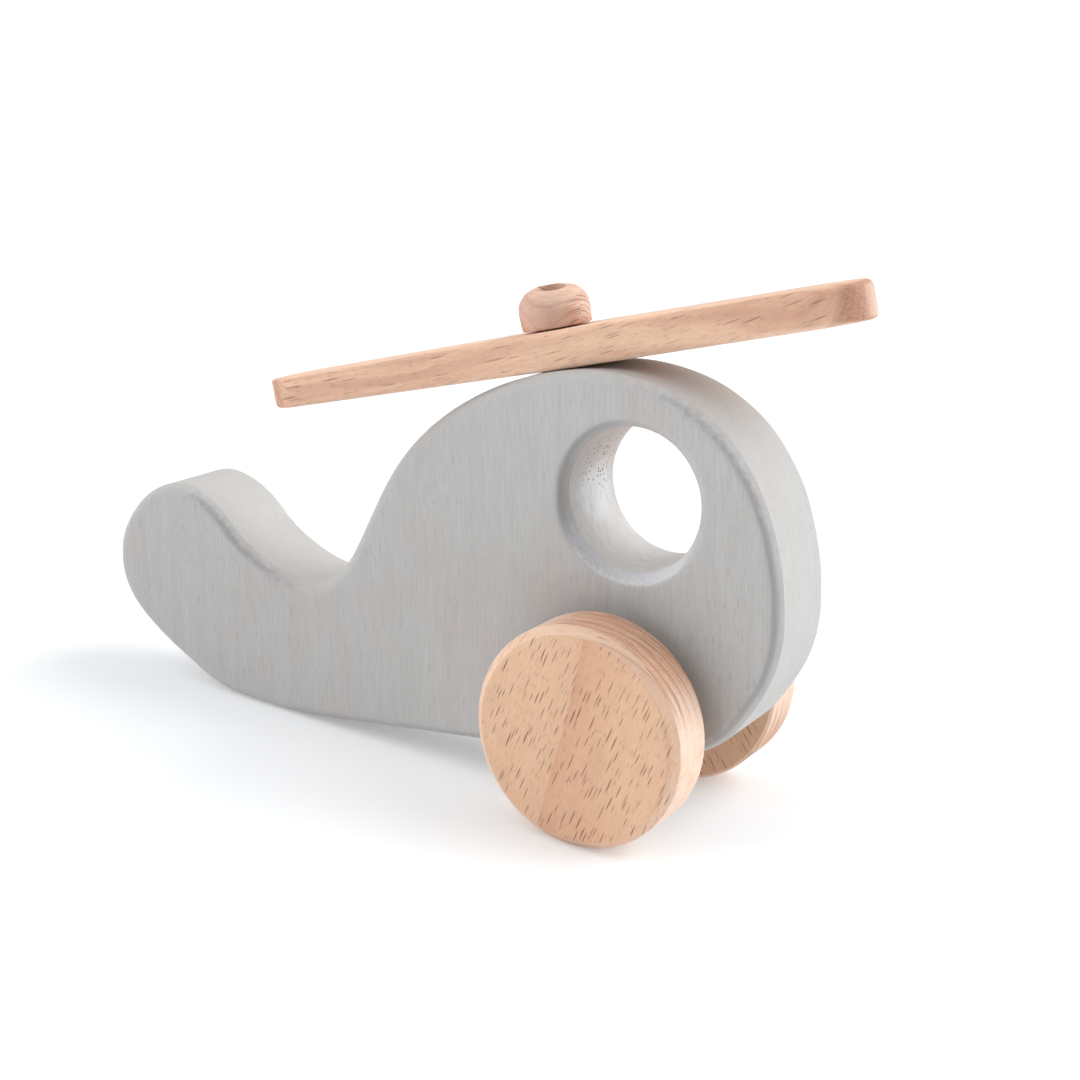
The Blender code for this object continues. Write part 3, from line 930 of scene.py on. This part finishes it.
def build():
    body = give(make_body(), make_stain())
    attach(body, "fuselage")
    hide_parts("body")

    near = give(make_wheel("wheel_disc_near", -1), beech(
        "beech_wheel_near", AXLE + Vector((-0.00215, -WHEEL_OUT, 0)),
        (0.317, 0.0125, 0.948), (0.0693, -1.0, -0.01), 2.2 * 137, 2.2, **WHEEL_LOOK))
    far = give(make_wheel("wheel_disc_far", 1), beech(
        "beech_wheel_far", AXLE + Vector((0.006, WHEEL_OUT, 0)),
        (-0.62, 0.02, 0.78), (0.05, 1.0, 0.06), 2.4 * 120, 2.4, **WHEEL_LOOK))
    for wheel, node in ((near, "wheel_near"), (far, "wheel_far")):
        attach(wheel, "wheelset")
        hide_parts(node)

    blade_fore = (MAST_FORE * math.cos(BLADE_YAW) + Y_AXIS * math.sin(BLADE_YAW)).normalized()
    blade_side = MAST_UP.cross(blade_fore)
    blade = give(make_blade(), beech(
        "beech_slat", MAST, blade_fore * 0.998 + MAST_UP * 0.04, -blade_side + MAST_UP * 0.35, 60.0, 2.9,
        rgb(248, 208, 178), rgb(210, 160, 136), rgb(126, 84, 68), rays=(0.7, 11.0, 0.12, 0.25, 0.55),
        # end_from 0 and end_shade 0.75 darken the nose-end corners as soon as they turn: end grain, and
        # painted shade where they face the front.
        ray_amount=0.62, jump=0.12, layer_scale=1.3, ring_amount=0.25, end_from=0.0, end_to=0.3,
        end_shade=0.75, end_pale=0.5, chalk_amount=0.15, mottle=0.06, fibre_amount=0.42,
        # middle: painted light, paler over the middle of the slat, above the crown.
        sway=-0.0012, middle=0.35))
    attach(blade, "rotor")
    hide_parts("rotor_blade")

    # The bead's rings run level round it and circle a point low on its right-hand side.
    knot = MAST_FOOT + MAST_UP * (CAP_FOOT + 1.2 * MM) + towards(76, -10) * 6.2 * MM
    stripe = (MAST_FOOT + MAST_UP * CAP_FOOT, MAST_UP + towards(120, 0) * 0.45, 3.6, rgb(190, 141, 122), 0.45)
    cap = give(make_cap(), beech(
        "beech_bead", knot - MAST_UP * 0.003, towards(98, 4), -MAST_UP, 3.0, 1.9,
        rgb(246, 213, 190), rgb(205, 161, 142), rgb(140, 96, 80), rays=(0.6, 3.2, 0.14, 0.3, 0.6),
        ray_amount=0.35, jump=0.6, fall=1.2, layer_scale=1.9, ring_amount=1.0, wander=0.8,
        end_shade=0.2, end_pale=0.35, flake=0.2, mottle=0.12, fibre_amount=0.28, stripe=stripe))
    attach(cap, "fuselage")
    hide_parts("rotor_cap")

    # The mast's colours are darker and greyer than the axle's: painted shade for its end, which sits down in
    # the bead's bore.
    keep("mast", beech(
        "beech_mast", MAST, MAST_UP, (1, 0.3, 0), 14.0, 1.6,
        rgb(196, 178, 154), rgb(178, 156, 132), rgb(128, 104, 84), end_shade=0.25, **DOWEL_LOOK))
    keep("axle", beech(
        "beech_axle", AXLE, (0, 1, 0), (1, 0, 0.4), 14.0, 1.6,
        rgb(228, 196, 164), rgb(210, 170, 140), rgb(150, 112, 88), end_shade=0.3, **DOWEL_LOOK))


# ---------------------------------------------------------------- studio

WALL = 0.38  # brightness of the white walls
ROOF = 0.45  # how much brighter it is overhead
FLOOR_REACH = 12.0
FLOOR_GLOW = 0.215
SUNS = (  # name, azimuth, elevation, strength, angle across it, colour
    ("key", 130, 40, 2.2, 55, (1.0, 0.995, 0.99)),
    ("low", 118, 12, 0.8, 40, (1.0, 0.995, 0.99)),
    ("fill", -57, 30, 1.75, 70, (1.0, 1.0, 1.0)),
)
CAMERA_AT = (0.18313, -0.2828, 0.1462)
CAMERA_SIDE = (30.07, 17.23)  # the azimuth and elevation it looks back from
CAMERA_ROLL = math.radians(4.22)
CAMERA_LENS = 62.22  # mm, for a sensor 36 mm wide


def towards(azimuth, elevation):
    """The direction of something seen at that azimuth and elevation; azimuth 0 is the near side."""
    a, e = math.radians(azimuth), math.radians(elevation)
    return Vector((math.sin(a) * math.cos(e), -math.cos(a) * math.cos(e), math.sin(e)))


def make_world():
    """Dim white walls under a lighter roof, darker to the front right, with a bright strip low behind."""
    world = bpy.data.worlds.new("studio")
    world.use_nodes = True
    tree = world.node_tree
    background = tree.nodes["Background"]
    background.inputs["Color"].default_value = (1.0, 1.0, 1.0, 1.0)
    way = tree.nodes.new("ShaderNodeTexCoord").outputs["Generated"]

    def node(kind, *values, **settings):
        made = tree.nodes.new(kind)
        for key, value in settings.items():
            setattr(made, key, value)
        for socket, value in zip(made.inputs, values):
            if isinstance(value, bpy.types.NodeSocket):
                tree.links.new(value, socket)
            else:
                socket.default_value = value
        return made

    def facing(direction):
        return node("ShaderNodeVectorMath", way, direction, operation="DOT_PRODUCT").outputs["Value"]

    def ramp(value, low, high, to_low, to_high):
        made = node("ShaderNodeMapRange", value, low, high, to_low, to_high, interpolation_type="SMOOTHSTEP")
        return made.outputs[0]

    def join(operation, *values):
        return node("ShaderNodeMath", *values, operation=operation).outputs[0]

    height = node("ShaderNodeSeparateXYZ", way).outputs["Z"]
    walls = ramp(facing(towards(45, 10)), 0.25, 0.92, WALL, WALL * 0.12)
    roof = ramp(height, 0.55, 0.9, 0.0, ROOF)
    horizon = ramp(join("ABSOLUTE", height), 0.04, 0.10, 1.3, 0.0)
    behind = ramp(facing(towards(210, 0)), 0.72, 0.86, 0.0, 1.0)
    light = join("MAXIMUM", join("ADD", walls, roof), join("MULTIPLY", horizon, behind))
    # Seen straight on, the walls are a plain white backdrop from every side.
    seen = tree.nodes.new("ShaderNodeLightPath").outputs["Is Camera Ray"]
    tree.links.new(join("MAXIMUM", light, seen), background.inputs["Strength"])
    bpy.context.scene.world = world


def make_studio():
    mesh = bpy.data.meshes.new("floor")
    corners = [(x * FLOOR_REACH, y * FLOOR_REACH, 0) for x, y in ((-1, -1), (1, -1), (1, 1), (-1, 1))]
    mesh.from_pydata(corners, [], [(0, 1, 2, 3)])
    floor = bpy.data.objects.new("floor", mesh)
    bpy.context.scene.collection.objects.link(floor)
    net = Net("pale_floor")
    mottle = net.noise(net.position, 40.0, 3.0)
    net.put(net.shader.inputs["Base Color"], net.mix(mottle, (0.77, 0.79, 0.81), (0.79, 0.81, 0.83)))
    net.shader.inputs["Roughness"].default_value = 0.9
    net.shader.inputs["Specular IOR Level"].default_value = 0.1
    net.shader.inputs["Emission Color"].default_value = (1.0, 1.0, 1.0, 1.0)
    net.shader.inputs["Emission Strength"].default_value = FLOOR_GLOW
    mesh.materials.append(net.material)
    make_world()

    for name, azimuth, elevation, strength, angle, colour in SUNS:
        lamp = bpy.data.lights.new(name, "SUN")
        lamp.energy = strength
        lamp.angle = math.radians(angle)
        lamp.color = colour
        made = bpy.data.objects.new(name, lamp)
        made.rotation_euler = towards(azimuth, elevation).to_track_quat("Z", "Y").to_euler()
        bpy.context.scene.collection.objects.link(made)
    bpy.context.scene.view_settings.view_transform = "Standard"


def make_camera():
    back = towards(*CAMERA_SIDE)
    right = Z_AXIS.cross(back).normalized()
    up = back.cross(right)
    across = right * math.cos(CAMERA_ROLL) + up * math.sin(CAMERA_ROLL)
    upward = up * math.cos(CAMERA_ROLL) - right * math.sin(CAMERA_ROLL)
    lens = bpy.data.cameras.new("camera")
    lens.lens = CAMERA_LENS
    lens.sensor_width = 36.0
    lens.clip_start = 0.01
    lens.clip_end = 100.0
    camera = bpy.data.objects.new("camera", lens)
    turn = Matrix((across, upward, back)).transposed().to_4x4()
    camera.matrix_world = Matrix.Translation(CAMERA_AT) @ turn
    bpy.context.scene.collection.objects.link(camera)
    bpy.context.scene.camera = camera


make_camera()
make_studio()
build()
